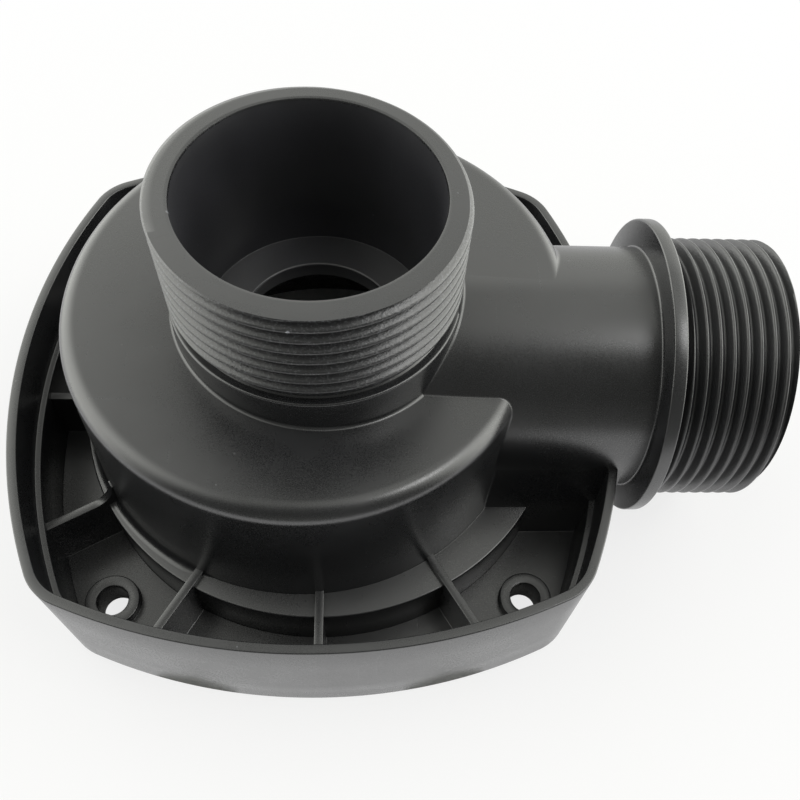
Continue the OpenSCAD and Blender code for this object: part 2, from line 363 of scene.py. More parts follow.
@dataclass(frozen=True)
class MouldedPlastic:
    """Black moulded plastic with a fine grain, slight mottling, specks of dust, fine scratches and, where
    set, painted glints that lighten the grain's high spots.
    """

    name: str
    tone: Spot = (0.014, 0.0143, 0.0158)
    mottle: float = 0.25
    roughness: float = 0.31
    roughness_swing: float = 0.04
    ior: float = 1.6
    gloss: float = 1.0
    grain_size: float = 0.28
    grain_detail: float = 3.0
    grain_depth: float = 0.010
    relief: float = 0.55
    # painted glints: share by which the grain's high spots are lightened in colour
    painted_glint: float = 0.0
    scratches: float = 0.5
    dust: float = 0.5
    cloud_scale: float = 55.0
    speck_scale: float = 420.0
    streaks: tuple[Streaks, ...] = (
        Streaks((0.3, 0.2, 0.7), (2600.0, 60.0, 60.0), 0.70, 0.76),
        Streaks((0.1, -0.4, -0.9), (70.0, 2900.0, 70.0), 0.71, 0.77),
    )
    marks: tuple[Mark, ...] = ()

    def scratch_mask(self, bench: NodeBench, place: Socket, cloud: Socket) -> Socket:
        """Fine scratches that come in patches.

        Args:
            bench: The material's bench.
            place: Position on the piece.
            cloud: Broad noise that says where the patches are.

        Returns:
            1 on a scratch, 0 beside it.
        """
        found: list[Socket] = []
        for streaks in self.streaks:
            inputs = {"Vector": place, "Rotation": streaks.rotation, "Scale": streaks.stretch}
            stretched = bench.out("Mapping", "Vector", inputs)
            found.append(bench.ramp(bench.noise(stretched, 1.0, 1.0), streaks.low, streaks.high))
        return bench.math("MULTIPLY", bench.math("MAXIMUM", *found), bench.ramp(cloud, 0.52, 0.66))

    def speck_mask(self, bench: NodeBench, place: Socket) -> Socket:
        """Specks of dust.

        Args:
            bench: The material's bench.
            place: Position on the piece.

        Returns:
            1 on a speck, 0 beside it.
        """
        cells = bench.add("TexVoronoi", {"Vector": place, "Scale": self.speck_scale, "Randomness": 1.0})
        near = bench.ramp(cells.outputs["Distance"], 0.055, 0.075, 1.0, 0.0)
        chance = bench.out("SeparateColor", "Red", {"Color": cells.outputs["Color"]})
        return bench.math("MULTIPLY", near, bench.ramp(chance, 0.93, 0.95))

    def marked(self, bench: NodeBench, place: Socket, grain: Socket, light: Socket) -> Socket:
        """Adds the marks to the colour's brightness.

        Args:
            bench: The material's bench.
            place: Position on the piece.
            grain: Grain that frays the marks' edges.
            light: Brightness without the marks.

        Returns:
            Brightness with the marks.
        """
        fray = bench.ramp(grain, 0.35, 0.65, 0.25, 1.0)
        for mark in self.marks:
            start, along = Vector(mark.start) * MM, (Vector(mark.end) - Vector(mark.start)) * MM
            lead = bench.out("VectorMath", "Vector", {"0": place, "1": start}, operation="SUBTRACT")
            unit = {"0": lead, "1": along / along.length_squared}
            share = bench.out("VectorMath", "Value", unit, operation="DOT_PRODUCT")
            share = bench.math("ADD", share, 0.0, clamp=True)
            foot = bench.out("VectorMath", "Vector", {"0": along, "Scale": share}, operation="SCALE")
            gap = bench.out("VectorMath", "Value", {"0": lead, "1": foot}, operation="DISTANCE")
            mask = bench.ramp(gap, 0.35 * mark.width * MM, mark.width * MM, mark.change, 0.0)
            light = bench.math("ADD", light, bench.math("MULTIPLY", mask, fray))
        return bench.math("MAXIMUM", light, 0.0)

    def material(self) -> bpy.types.Material:
        """Builds the node material.

        Returns:
            The finished material.
        """
        material = bpy.data.materials.new(self.name)
        bench = NodeBench(material)
        place = bench.out("TexCoord", "Object")
        cloud = bench.noise(place, self.cloud_scale, 4.0, 0.6)
        grain = bench.noise(place, 1.0 / (self.grain_size * MM), self.grain_detail, 0.65)
        scratch = self.scratch_mask(bench, place, cloud)
        speck = self.speck_mask(bench, place)

        def total(first: Socket, *terms: tuple[Socket, float]) -> Socket:
            """Adds up values.

            Args:
                first: The first value.
                *terms: The others, each with its share.

            Returns:
                The sum.
            """
            for term, share in terms:
                first = bench.math("ADD", first, bench.math("MULTIPLY", term, share))
            return first

        # colour: mottled, with painted glints lightening the grain's high spots
        light = bench.ramp(cloud, 0.3, 0.7, 1.0 - self.mottle, 1.0 + self.mottle)
        light = total(light, (bench.ramp(grain, 0.52, 0.70), self.painted_glint))
        light = total(light, (scratch, self.scratches * 1.2), (speck, self.dust * 6.0))
        light = self.marked(bench, place, grain, light)
        tone = bench.out("CombineColor", "Color", dict(zip(("Red", "Green", "Blue"), self.tone)))
        colour = bench.out("VectorMath", "Vector", {"0": tone, "Scale": light}, operation="SCALE")
        swing = self.roughness_swing
        rough = bench.ramp(cloud, 0.3, 0.7, self.roughness - swing, self.roughness + swing)
        rough = bench.math("ADD", rough, bench.ramp(grain, 0.4, 0.7, -0.04, 0.05))
        rough = total(rough, (scratch, -0.10 * self.scratches))
        height = total(grain, (cloud, 1.5), (scratch, -1.2 * self.scratches), (speck, 2.0 * self.dust))
        bump = {"Height": height, "Strength": self.relief, "Distance": self.grain_depth * MM}
        shader = {
            "Base Color": colour,
            "Roughness": rough,
            "Normal": bench.out("Bump", "Normal", bump),
            "IOR": self.ior,
            "Specular IOR Level": self.gloss,
        }
        bench.add("OutputMaterial", {"Surface": bench.out("BsdfPrincipled", "BSDF", shader)})
        return material


# each as (radius, heading, height) at its start and at its end, its width and its change
ROUND_MARKS = (
    ((21.0, -155.0, 68.5), (23.1, -155.0, 68.5), 0.16, -0.8),
    ((20.2, -166.8, 68.5), (19.9, -166.6, 68.2), 0.30, 14.0),
    ((23.0, -106.0, 68.5), (23.4, -106.3, 68.3), 0.22, -0.9),
    ((38.0, -111.3, 40.0), (39.2, -111.1, 39.4), 0.12, 16.0),
    ((38.6, -110.1, 40.0), (39.4, -109.8, 39.4), 0.12, 16.0),
    ((42.6, -137.0, 41.5), (42.9, -136.8, 41.4), 0.14, 26.0),
    ((42.2, -133.0, 41.7), (42.4, -132.8, 41.6), 0.13, 24.0),
    ((42.9, -125.0, 40.6), (43.1, -124.9, 40.5), 0.13, 24.0),
    ((35.0, -164.0, 44.5), (34.6, -168.0, 44.7), 0.10, 12.0),
    ((27.0, -107.0, 43.2), (27.3, -106.6, 43.2), 0.13, 20.0),
    ((27.0, -100.0, 43.1), (27.1, -99.7, 43.1), 0.13, 22.0),
)
SEEN_MARKS = (
    Mark((-41.4, -49.0, 1.0), (-31.8, -53.2, 1.6), 1.3, -0.7),
    *(Mark(around(*start), around(*end), width, change) for start, end, width, change in ROUND_MARKS),
)

SATIN = MouldedPlastic("satin_black", dust=0.7, marks=SEEN_MARKS)
# the suction thread's finish has strong painted glints that lighten its ridges
GRAINED = MouldedPlastic(
    "grained_black", mottle=0.2, roughness=0.34, grain_size=0.36, grain_detail=1.5, grain_depth=0.042,
    relief=1.0, painted_glint=6.0, scratches=0.2, dust=0.3,
    marks=(Mark(around(23.9, -96.0, 66.2), around(23.9, -95.6, 66.3), 0.28, 40.0),),
)
# the discharge thread's finish has weak painted glints on its grain
WORN = MouldedPlastic(
    "worn_black", mottle=0.3, roughness=0.33, gloss=0.8, grain_size=0.24, grain_depth=0.07,
    painted_glint=0.8, scratches=0.3,
)
# the bore's finish is lighter in tone: painted light standing in for the light that reaches inside the bore
BORE_PAINTED_LIGHT = MouldedPlastic("bore_black_painted_light", tone=(0.026, 0.026, 0.031), roughness=0.42, scratches=0.2, dust=0.6)


def dress(
    piece: bpy.types.Object,
    finishes: Sequence[MouldedPlastic],
    crease: float = 32.0,
    pick: Callable[[Vector], int] | None = None,
) -> None:
    """Shades a piece, gives it its finishes and hands it to the frame.

    Args:
        piece: The finished mesh object.
        finishes: The piece's finishes.
        crease: Angle in degrees above which an edge stays sharp.
        pick: Gives the number of a face's finish from its centre in metres.
    """
    mesh = piece.data
    mesh.polygons.foreach_set("use_smooth", [True] * len(mesh.polygons))
    mesh.set_sharp_from_angle(angle=math.radians(crease))
    mesh.materials.clear()
    for finish in finishes:
        mesh.materials.append(bpy.data.materials[finish.name])
    if pick is not None:
        mesh.polygons.foreach_set("material_index", [pick(face.center) for face in mesh.polygons])
    mesh.update()
    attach(piece, BODY)
    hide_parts(NODE)
    log.info("%s: %d faces", piece.name, len(mesh.polygons))


# -------------------- shared forms


@dataclass(frozen=True)
class TrayPlan:
    """Plan of the tray: four bulged sides that run into round corners."""

    half_width: float = 55.6
    side_radius: float = 104.0
    corner_radius: float = 10.0

    def corner_centre(self) -> float:
        """Distance of each corner's centre from both centre planes."""
        shift, reach = self.side_radius - self.half_width, self.side_radius - self.corner_radius
        return (math.sqrt(2 * reach * reach - shift * shift) - shift) / 2

    def line(self, side_steps: int = 44, corner_steps: int = 18) -> tuple[np.ndarray, np.ndarray]:
        """Points of the outline and the outward normals there.

        Args:
            side_steps: Chords along each side.
            corner_steps: Chords round each corner.

        Returns:
            Points and unit normals, each shaped (n, 2), counter-clockwise.
        """
        c, shift = self.corner_centre(), self.side_radius - self.half_width
        turn = math.degrees(math.atan2(c, c + shift))
        spots: list[Spot] = []
        for k in range(side_steps):
            a = math.radians(-turn + 2 * turn * k / side_steps)
            spots.append((-shift + self.side_radius * math.cos(a), self.side_radius * math.sin(a), a))
        for k in range(corner_steps):
            a = math.radians(turn + (90 - 2 * turn) * k / corner_steps)
            spots.append((c + self.corner_radius * math.cos(a), c + self.corner_radius * math.sin(a), a))
        points, normals = [], []
        for quarter in range(4):
            q = quarter * math.pi / 2
            for x, y, a in spots:
                points.append((x * math.cos(q) - y * math.sin(q), x * math.sin(q) + y * math.cos(q)))
                normals.append((math.cos(a + q), math.sin(a + q)))
        return np.array(points), np.array(normals)

    def reach(self, angle: float, inset: float) -> float:
        """Distance from the middle to the outline, moved inwards, along an angle.

        Args:
            angle: Direction in degrees.
            inset: How far the outline is moved inwards.

        Returns:
            The distance in millimetres.
        """
        points, normals = self.line()
        moved = points - normals * inset
        headings = np.degrees(np.arctan2(moved[:, 1], moved[:, 0]))
        off = np.abs((headings - angle + 180.0) % 360.0 - 180.0)
        near = np.argsort(off)[:2]
        radii = np.hypot(moved[near, 0], moved[near, 1])
        weight = off[near][::-1] / max(1e-9, off[near].sum())
        return float((radii * weight).sum())


@dataclass(frozen=True)
class SpiralForm:
    """Plan and height of the spiral casing, turn by turn."""

    radius: float = 43.9
    offset: float = 2.9
    start_height: float = 41.6
    end_height: float = 49.45
    first: float = -20.0
    turn: float = 340.0
    tongue: float = -33.0
    edge_radius: float = 2.9
    draft: float = 0.047
    draft_start: float = LEDGE
    wall: float = 3.0
    foot_narrow: float = 0.15
    foot_wide: float = 1.4
    foot_change: float = -116.0
    foot_blend: float = 8.0

    def edge(self, angle: float) -> float:
        """Outer radius of the casing.

        Args:
            angle: Direction in degrees.

        Returns:
            The radius.
        """
        a = math.radians(angle)
        if math.sin(a) >= 0:
            return self.radius
        arm = self.radius - self.offset
        return math.sqrt(arm * arm - (self.offset * math.sin(a)) ** 2) - self.offset * math.cos(a)

    def side(self, angle: float, level: float) -> float:
        """Outer radius of the drafted wall at an angle in degrees and a height."""
        return self.edge(angle) - self.draft * max(0.0, level - self.draft_start)

    def height(self, angle: float) -> float:
        """Height of the ramp at an angle between first and first - turn."""
        rise = (self.end_height - self.start_height) / (self.turn - self.first + self.tongue)
        return self.start_height + rise * (self.tongue - angle)

    def foot(self, angle: float) -> float:
        """Radius of the fillet at the casing's foot, wider from a change on."""
        part = min(1.0, max(0.0, (self.foot_change - angle) / self.foot_blend))
        return self.foot_narrow + (self.foot_wide - self.foot_narrow) * part


@dataclass(frozen=True)
class PipeForm:
    """Section of the discharge pipe and of the foot under it."""

    radius: float = 22.15
    bore: float = 19.7
    height: float = 27.3
    foot_half: float = 23.8
    foot_break: float = LEDGE
    centre: Spot = (0.0, 0.0, 27.3)
    bore_tool: Rod = (21.0, (23.6, 90.0), 144)

    def side(self, level: float) -> Spot:
        """Half width at a height, with the outward normal's level and upright parts.

        Args:
            level: The height.

        Returns:
            Half width, and the normal's two parts.
        """
        rise = level - self.height
        if rise >= 0:
            y = math.sqrt(max(0.0, self.radius ** 2 - rise * rise))
            return y, y / self.radius, rise / self.radius
        span = self.height - self.foot_break
        part = max(0.0, 1.0 + rise / span)
        y = self.foot_half + (self.radius - self.foot_half) * part * part * (3.0 - 2.0 * part)
        slope = (self.radius - self.foot_half) * 6.0 * part * (1.0 - part) / span
        size = math.hypot(1.0, slope)
        return y, 1.0 / size, -slope / size


PLAN = TrayPlan()
SPIRAL = SpiralForm()
PIPE = PipeForm()


# -------------------- tray


@dataclass
class Tray:
    """Walled tray with its floor, four screw bosses and nine ribs."""

    bore_cutter: bpy.types.Object
    rim_height: float = 27.0
    rim_wall: float = 1.7
    step_height: float = 17.6
    step_width: float = 1.1
    edge_round: float = 0.25
    inner_round: float = 0.2
    base_round: float = 0.3
    corner: float = 0.15
    floor_under: float = 1.7
    floor_inset: float = 2.4
    ring_opening: float = 44.0
    boss_opening: float = 3.9
    through: tuple[float, float] = (-5.0, 20.0)
    screw_offset: float = 38.5
    hole_radius: float = 2.85
    boss_radius: float = 4.95
    boss_height: float = 6.5
    boss_corner: float = 0.12
    rib_half: float = 0.8
    rib_height: float = 16.3
    rib_corner: float = 0.12
    rib_sweep: float = 4.0
    ring_middle: float = 43.6
    ledge_under: float = 14.6
    rib_angles: tuple[float, ...] = (60.0, 90.0, 120.0, 150.0, 180.0, -150.0, -120.0, -90.0, -60.0)
    swept_angles: tuple[float, ...] = (150.0, 180.0, -150.0)

    def wall_profile(self) -> Flat:
        """Closed section of the wall.

        Returns:
            Its points as (inset, height).
        """
        wall, step, top, e = self.rim_wall, self.step_height, self.rim_height, self.edge_round
        f, b, inner = self.corner, self.base_round, wall + self.step_width
        rows = [(b, 0.0), (0.3 * b, 0.3 * b), (0.0, b), (0.0, 8.0), (0.0, 18.0), (0.0, top - e)]
        rows += arc(e, top - e, e, 180, 90, 4)[1:]
        rows += arc(wall - self.inner_round, top - self.inner_round, self.inner_round, 90, 0, 3)
        rows += [(wall, step + e), (wall + 0.28 * e, step + 0.28 * e), (wall + e, step)]
        rows += arc(inner - e, step - e, e, 90, 0, 3) + [(inner, 11.0), (inner, FLOOR_TOP + f)]
        rows += arc(inner + f, FLOOR_TOP - SINK + f, f, 180, 270, 3)[1:] + [(inner + f, FLOOR_TOP - 0.6)]
        return rows + [(inner, self.floor_under + 0.4), (inner, e), (inner - e, 0.0)]

    def build_wall(self) -> None:
        """Builds the tray's wall, open where the pipe's bore runs through."""
        points, normals = PLAN.line()
        profile = np.array(self.wall_profile())
        flat = points[:, None, :] - normals[:, None, :] * profile[None, :, 0:1]
        tall = np.broadcast_to(profile[None, :, 1:2], flat.shape[:2] + (1,))
        wall = make_object("tray_wall", loft(np.concatenate([flat, tall], axis=2), ring=True))
        carve(wall, [self.bore_cutter])
        dress(wall, [SATIN])

    def screw_spots(self) -> list[Spot]:
        """Centres of the four screw holes."""
        return [(x * self.screw_offset, y * self.screw_offset, 0.0) for x in (-1, 1) for y in (-1, 1)]

    def build_floor(self) -> None:
        """Builds the floor between the wall, the chamber ring and the bosses."""
        points, normals = PLAN.line()
        edge = points - normals * self.floor_inset
        rows = [np.column_stack([edge, np.full(len(edge), h)]) for h in (self.floor_under, FLOOR_TOP)]
        floor = make_object("tray_floor", loft(rows, ring=False))
        cutters = [cutter(self.ring_opening, self.through, 180)]
        cutters += [cutter(self.boss_opening, self.through, 48, centre=spot) for spot in self.screw_spots()]
        carve(floor, cutters)
        discard(cutters)
        dress(floor, [SATIN])

    def build_bosses(self) -> None:
        """Builds the four screw bosses with their holes as one object."""
        r, top, hole = self.boss_radius, self.boss_height, self.hole_radius
        e, f = self.edge_round, self.boss_corner
        profile = [(hole + 0.15, 0.0), (r - 0.2, 0.0), (r, 0.2), (r, self.floor_under + 0.6)]
        profile += [(r + 0.1, FLOOR_TOP - 0.3)] + floor_fillet(r, f)
        profile += arc(r - e, top - e, e, 0, 90, 4) + [(hole + e, top), (hole + 0.28 * e, top - 0.28 * e)]
        profile += [(hole, top - e), (hole, 0.15)]
        bosses = [turned(profile, 72, centre=spot) for spot in self.screw_spots()]
        dress(join("screw_bosses", bosses), [SATIN])

    def rib_top(self, distance: float, swept: bool) -> float:
        """Height of a rib's top at a distance from the casing's wall."""
        r, d = self.rib_sweep, max(0.0, self.rib_sweep - max(0.0, distance)) if swept else 0.0
        return self.rib_height + r - math.sqrt(r * r - d ** 2)

    def rib(self, angle: float) -> Shell:
        """Shell of one rib from inside the casing's wall to inside the tray's wall.

        Args:
            angle: Direction of the rib in degrees.

        Returns:
            The shell.
        """
        wall, swept = SPIRAL.edge(angle), angle in self.swept_angles
        foot = max(self.ring_middle, wall + 0.02)
        spans = [wall - 1.6, wall - 0.4, wall, foot - SINK, foot]
        if swept:
            spans += [wall + self.rib_sweep * (1 - math.cos(math.radians(5 * k))) for k in range(1, 19)]
        spans = sorted(set(spans))
        spans += list(np.linspace(spans[-1] + 0.8, PLAN.reach(angle, 1.0), 10))
        c, s = math.cos(math.radians(angle)), math.sin(math.radians(angle))
        half, f = self.rib_half, self.rib_corner
        rows = []
        for d in spans:
            top, low = self.rib_top(d - wall, swept), FLOOR_TOP if d >= foot else self.ledge_under
            side = [(half + f, low - SINK), (half + 0.035, low + 0.025), (half, low + f - SINK)]
            side += [(half - 0.03, top - 0.16), (half - 0.07, top - 0.05), (half - 0.18, top)]
            outline = [(0.0, low - 0.8), (half + f, low - 0.8)] + side
            outline += [(-y, z) for y, z in reversed(side)] + [(-half - f, low - 0.8)]
            rows.append([(d * c - y * s, d * s + y * c, z) for y, z in outline])
        return loft(rows, ring=False)

    def build(self) -> None:
        """Builds and dresses the tray."""
        self.build_wall()
        self.build_floor()
        self.build_bosses()
        dress(join("tray_ribs", [self.rib(a) for a in self.rib_angles]), [SATIN])


# -------------------- casing


@dataclass
class Casing:
    """Chamber ring with the spiral casing on it."""

    bore_cutter: bpy.types.Object
    ring_radius: float = 45.4
    ring_round: float = 0.35
    ring_wall: float = 2.0
    corner: float = 0.15
    chamber_radius: float = 42.4
    chamber_height: float = 12.3
    roof_inner: float = 21.5
    roof_corner: float = 2.5
    passage_low: float = 11.0
    passage_inner: float = 12.0
    passage_growth: float = 1.3
    ring_stations: int = 288
    stations: int = 272

    def build_ring(self) -> None:
        """Builds the ring that closes the impeller chamber."""
        r, e, f, roof, inside = (
            self.ring_radius, self.ring_round, self.corner, self.chamber_height, self.chamber_radius,
        )
        outer = [(r - 0.2, 0.0), (r, 0.2), (r, 3.0), (r + 0.1, 4.3)] + floor_fillet(r, f)
        outer += [(r, 10.0)] + arc(r - e, LEDGE - e, e, 0, 90, 4)
        chamber = [(inside - 0.3, roof), (inside, roof - 0.3), (inside, 0.3), (inside + 0.3, 0.0)]
        rows = []
        for k in range(self.ring_stations):
            angle = k * 360.0 / self.ring_stations
            inner = SPIRAL.edge(angle if angle <= 180 else angle - 360.0) - self.ring_wall
            profile = outer + [(inner, LEDGE), (inner, roof)] + chamber
            rows.append([around(r, angle, z) for r, z in profile])
        ring = make_object("chamber_ring", loft(rows, ring=True))
        carve(ring, [self.bore_cutter])
        dress(ring, [SATIN])

    def section(self, angle: float) -> Flat:
        """Closed section of the casing's roof and wall, as (radius, height).

        Args:
            angle: Angle in degrees, from the spiral's first down through its turn.

        Returns:
            The section's points.
        """
        edge, top, foot = SPIRAL.edge(angle), SPIRAL.height(angle), SPIRAL.foot(angle)
        e, wall, low, soft = SPIRAL.edge_radius, SPIRAL.wall, self.chamber_height + 0.05, self.roof_corner
        crown = SPIRAL.side(angle, top - e)
        rows = [(r, top) for r in (self.roof_inner, 25.0, 30.0, crown - e - 0.3)]
        rows += arc(crown - e, top - e, e, 90, 0, 14)
        rows += [(SPIRAL.side(angle, z), z) for z in (top - e - 0.3, 33.0, 27.0, 21.0)]
        rows += arc(edge + foot, LEDGE + foot, foot, 180, 270, 6)
        rows[-1] = (rows[-1][0], LEDGE - 0.02)
        rows += [(edge - 0.5, low), (edge - wall, low)]
        rows += arc(edge - wall - soft, top - wall - soft, soft, 0, 90, 5)
        return rows + [(self.roof_inner, top - wall)]

    def build_spiral(self) -> None:
        """Builds the spiral casing with its ramp and rounded edge."""
        rows = []
        for k in range(self.stations + 1):
            angle = SPIRAL.first - SPIRAL.turn * k / self.stations
            rows.append([around(r, angle, z) for r, z in self.section(angle)])
        casing = make_object("spiral_casing", loft(rows, ring=False))
        carve(casing, [self.bore_cutter])
        dress(casing, [SATIN])

    def passage_cutter(self) -> bpy.types.Object:
        """Builds a cutter of the passage, grown into the casing's wall.

        Returns:
            The cutter.
        """
        rows, soft, low, inner = [], self.roof_corner, self.passage_low, self.passage_inner
        for k in range(self.stations // 2 + 1):
            angle = SPIRAL.first - SPIRAL.turn * k / (self.stations // 2)
            edge = SPIRAL.edge(angle) - SPIRAL.wall + self.passage_growth
            top = SPIRAL.height(angle) - SPIRAL.wall + self.passage_growth
            profile = [(inner, low), (edge, low)] + arc(edge - soft, top - soft, soft, 0, 90, 3)
            profile.append((inner, top))
            rows.append([around(r, angle, z) for r, z in profile])
        return make_object("cutter", loft(rows, ring=False))

    def build(self) -> None:
        """Builds and dresses the ring and the casing."""
        self.build_ring()
        self.build_spiral()


# -------------------- ports


@dataclass(frozen=True)
class PipeThread:
    """Rounded 55 degree pipe thread, 11 turns to the inch, right-handed, at the open end of a port."""

    start: float
    end: float
    crest_at: float
    crest_heading: float
    rows: int
    crest: float = 23.9
    root: float = 22.4
    pitch: float = 2.309
    edge: float = 0.3
    lead_in: float = 2.2

    def radius(self, angle: np.ndarray, along: np.ndarray) -> np.ndarray:
        """Radius of the thread's surface.

        Args:
            angle: Angles round the axis in degrees.
            along: Distances along the axis.

        Returns:
            The radii in millimetres.
        """
        tip, depth, flank = 0.1373 * self.pitch, 0.6403 * self.pitch, math.radians(62.5)
        bend, drop = tip * math.sin(flank), tip * (1 - math.cos(flank))
        phase = (along - self.crest_at) / self.pitch - (angle - self.crest_heading) / 360.0
        t = np.abs(phase - np.round(phase)) * self.pitch
        far = self.pitch / 2 - t
        near_crest = tip - np.sqrt(np.clip(tip * tip - t * t, 0, None))
        near_root = depth - (tip - np.sqrt(np.clip(tip * tip - far * far, 0, None)))
        slope = drop + (t - bend) * math.tan(flank)
        thread = self.crest - np.where(t < bend, near_crest, np.where(far < bend, near_root, slope))
        thread = np.minimum(thread, self.root + self.lead_in * np.clip(along - self.start, 0, None))
        return np.minimum(thread, self.crest - self.edge + np.clip(self.end - along, 0, None))

    def port(self, before: Flat, bore: float, after: Flat, axis: Axis, centre: Spot) -> Shell:
        """Turns a port with this thread outside its mouth.

        Args:
            before: Outline of the outside, up to the undercut.
            bore: Radius of the bore.
            after: Outline of the inside, from the bore back to the start.
            axis: Axis of the port.
            centre: A point on it.

        Returns:
            The port's shell.
        """
        root, end, length = self.root, self.end, self.end - 0.02 - self.start
        crests = [(self.crest, self.start + length * k / self.rows) for k in range(self.rows + 1)]
        mouth = [(root - 0.12, end), (root - 0.25, end), (bore + 0.6, end), (bore + 0.45, end)]
        mouth += [(bore + 0.13, end - 0.1), (bore, end - 0.4)]
        outline = before + [(root, self.start - 0.3)] + crests + mouth + after
        place = np.arange(len(outline)) - len(before) - 1
        threaded = (place >= 0) & (place < len(crests))

        def shape(angle: np.ndarray, r: np.ndarray, along: np.ndarray) -> np.ndarray:
            """Cuts the thread into the outside of the port."""
            return np.where(threaded, self.radius(angle, along), r)

        return turned(outline, 360, axis, centre, shape)


@dataclass
class SuctionPort:
    """Upright port: neck, shoulder, undercut, thread, bore, shelf and eye."""

    thread: PipeThread = PipeThread(50.8, 68.5, crest_at=66.25, crest_heading=-92.0, rows=150)
    bore: float = 20.0
    shelf_top: float = 39.6
    shelf_corner: float = 0.08
    shelf_under: float = 36.6
    eye: float = 13.2
    eye_round: float = 0.4
    shoulder: float = 49.3
    shoulder_round: float = 0.35

    def build(self) -> None:
        """Builds and dresses the port."""
        under, root, e = self.shelf_under, self.thread.root, self.shoulder_round
        f, g = self.shelf_corner, self.eye_round
        before = [(self.eye + 0.3, under), (22.7, under), (23.0, under + 0.3), (NECK, 38.0), (NECK, 44.0)]
        before += [(NECK, self.shoulder - e)] + arc(NECK - e, self.shoulder - e, e, 0, 90, 4)[1:]
        before += [(root + 0.25, self.shoulder), (root, self.shoulder + 0.25)]
        after = [(self.bore, 60.0), (self.bore, 50.0)]
        after += arc(self.bore - f, self.shelf_top + f, f, 0, -90, 4)
        after += arc(self.eye + g, self.shelf_top - g, g, 90, 180, 4) + [(self.eye, under + 0.3)]
        shell = self.thread.port(before, self.bore, after, Axis.UPRIGHT, ORIGIN)
        dress(make_object("suction_port", shell), [SATIN, GRAINED, BORE_PAINTED_LIGHT], THREAD_CREASE, self.finish_at)

    def finish_at(self, spot: Vector) -> int:
        """Says where the port is satin, grained, or bore with painted light.

        Args:
            spot: A face's centre in metres.

        Returns:
            Number of its finish.
        """
        out, top = spot.xy.length / MM, self.thread.end
        if out < self.bore + 0.05:
            # bore faces below the mouth get the finish with painted light
            return 2 if spot.z < (top - 0.35) * MM else 0
        return int(out > THREAD_INSIDE and (self.shoulder + 0.3) * MM < spot.z < (top - 0.05) * MM)


@dataclass
class DischargePort:
    """Level port: pipe from the casing, foot, collar, thread and bore."""

    bore_cutter: bpy.types.Object
    passage: bpy.types.Object
    thread: PipeThread = PipeThread(60.9, 79.7, crest_at=61.66, crest_heading=126.6, rows=158)
    pipe_start: float = 5.0
    bore_start: float = 22.5
    pin: float = 0.02
    collar: float = 27.1
    collar_left: float = 57.1
    collar_right: float = 59.5
    collar_fillet: float = 0.4
    collar_round: float = 0.35
    foot_start: float = 28.0
    foot_end: float = 54.2
    foot_fillet: float = 0.25
    foot_base: float = 3.0
    foot_tuck: float = 0.03
    foot_levels: int = 15
    core: Rod = (24.5, (10.0, 37.4), 120)
    chamber: Rod = (43.8, (-3.0, 13.6), 180)
    tube: Rod = (22.0, (35.9, 60.0), 120)

    def build_pipe(self) -> bpy.types.Object:
        """Builds the pipe between the neck and the collar.

        Returns:
            The pipe.
        """
        f, last, start = self.collar_fillet, self.collar_left + 0.3, self.bore_start
        profile = [(self.pin, self.pipe_start)]
        profile += [(PIPE.radius, x) for x in (self.pipe_start, 15.0, start, 35.0, 45.0, 53.0)]
        profile += [(r, x) for x, r in arc(self.collar_left - f, PIPE.radius + f, f, 270, 360, 6)]
        profile += [(PIPE.radius + f, last)] + [(PIPE.bore, x) for x in (last, 40.0, start)]
        profile.append((self.pin, start))
        return make_object("discharge_pipe", turned(profile, 288, Axis.LEVEL, PIPE.centre))

    def build_foot(self) -> bpy.types.Object:
        """Builds the pipe's flat-sided foot down to the tray's floor.

        Returns:
            The foot.
        """
        half, f, low = PIPE.foot_half, self.foot_fillet, FLOOR_TOP - SINK
        side = [(half + f, low)] + arc(half + f, low + f, f, 260, 180, 4)
        for k, z in enumerate(np.linspace(PIPE.foot_break, PIPE.height, self.foot_levels)):
            side.append((PIPE.side(z)[0] - self.foot_tuck * k / (self.foot_levels - 1), z))
        section = [(-y, z) for y, z in reversed(side)]
        section += [(-half - f, self.foot_base), (half + f, self.foot_base)] + side
        rows = [[(x, y, z) for y, z in section] for x in np.linspace(self.foot_start, self.foot_end, 12)]
        return make_object("pipe_foot", loft(rows, ring=False))

    def build_end(self) -> None:
        """Builds the collar and the threaded end."""
        left, right, r, root, e = (
            self.collar_left, self.collar_right, self.collar, self.thread.root, self.collar_round,
        )
        before = [(PIPE.bore + 0.03, left), (PIPE.radius + self.collar_fillet, left), (r - e, left)]
        edges = arc(left + e, r - e, e, 180, 90, 4)[1:] + arc(right - e, r - e, e, 90, 0, 4)
        before += [(out, x) for x, out in edges] + [(root + 0.3, right), (root, right + 0.3)]
        after = [(PIPE.bore, 66.0), (PIPE.bore, left + 0.1)]
        shell = self.thread.port(before, PIPE.bore, after, Axis.LEVEL, PIPE.centre)
        dress(make_object("discharge_port", shell), [SATIN, WORN], THREAD_CREASE, self.finish_at)

    def finish_at(self, spot: Vector) -> int:
        """Number of the finish at a face's centre: satin or worn thread."""
        out = math.hypot(spot.y, spot.z - PIPE.height * MM)
        return int(spot.x > (self.collar_right + 0.3) * MM and out > THREAD_INSIDE * MM)

    def build(self) -> None:
        """Builds and dresses the pipe, its foot and its threaded end."""
        core, chamber, tube = (cutter(*rod) for rod in (self.core, self.chamber, self.tube))
        pipe, foot = self.build_pipe(), self.build_foot()
        carve(pipe, [self.passage, core, chamber, tube])
        carve(foot, [self.bore_cutter, self.passage, chamber])
        dress(pipe, [SATIN])
        dress(foot, [SATIN])
        self.build_end()
        discard([core, chamber, tube])


# -------------------- fillets


